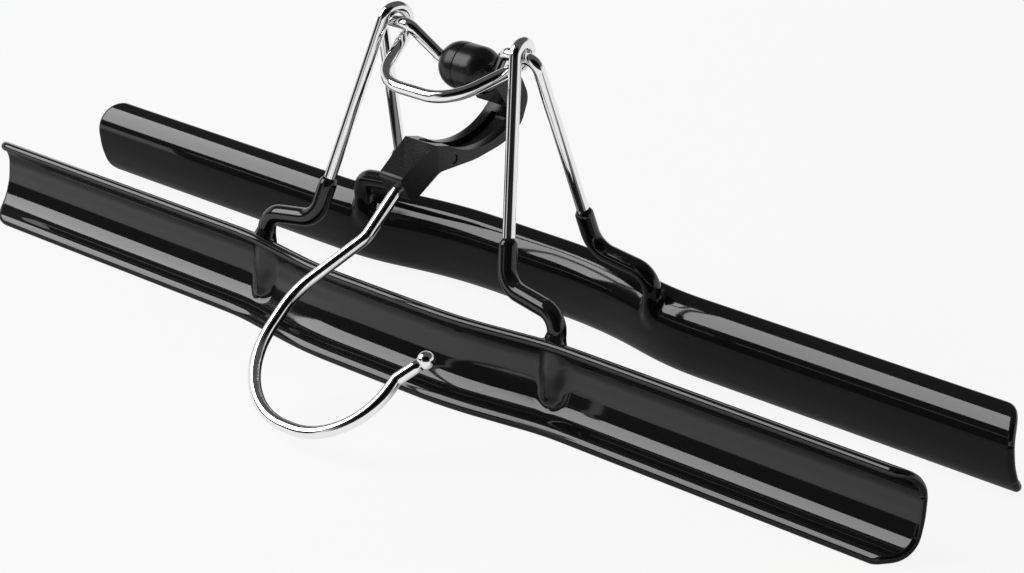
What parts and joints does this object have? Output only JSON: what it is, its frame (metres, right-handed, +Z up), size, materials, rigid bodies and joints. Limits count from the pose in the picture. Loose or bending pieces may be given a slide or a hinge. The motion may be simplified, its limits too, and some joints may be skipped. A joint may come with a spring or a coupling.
{
  "type": "skirt hanger",
  "caption": "Skirt hanger with coated clamping jaws on bent wire frames, closed by a cam lever that carries a swivel hook.",
  "frame": {"origin": "middle of the plane that the jaws' lower edges stand on, below the middle of the hanger", "axes": "+X along the jaws, +Y towards the rear jaw, +Z up with the jaws open and standing"},
  "size_m": [0.3, 0.0986, 0.0808],
  "materials": {
    "wire": "bright chrome plating on drawn steel wire",
    "strip": "bare pressed steel, sealed in the coating",
    "coating": "glossy dipped soft plastic",
    "lever": "satin moulded plastic"
  },
  "bodies": {
    "rear_frame": {"rear_wire_frame": "wire", "rear_jaw_strip": "strip", "rear_jaw_coating": "coating"},
    "front_frame": {"front_wire_frame": "wire", "front_jaw_strip": "strip", "front_jaw_coating": "coating"},
    "lever": {"cam_lever": "lever"},
    "swivel_hook": {"hook": "wire", "hook_ball": "wire"}
  },
  "joints": [
    {"name": "jaw_hinge", "type": "hinge", "parent": "rear_frame", "child": "front_frame", "pos_m": [0, 0.003, 0.076], "axis": [1, 0, 0], "range_deg": [0, 24]},
    {"name": "lever_flip", "type": "hinge", "parent": "rear_frame", "child": "lever", "pos_m": [0, 0.0066, 0.0686], "axis": [1, 0, 0], "range_deg": [-105, 0]},
    {"name": "hook_swivel", "type": "hinge", "parent": "lever", "child": "swivel_hook", "pos_m": [0, -0.0202, 0.0428], "axis": [0, -0.7771, -0.6293], "continuous": true}
  ],
  "couplings": [
    {"joint": "lever_flip", "follows": "jaw_hinge", "ratio": -4.375}
  ]
}
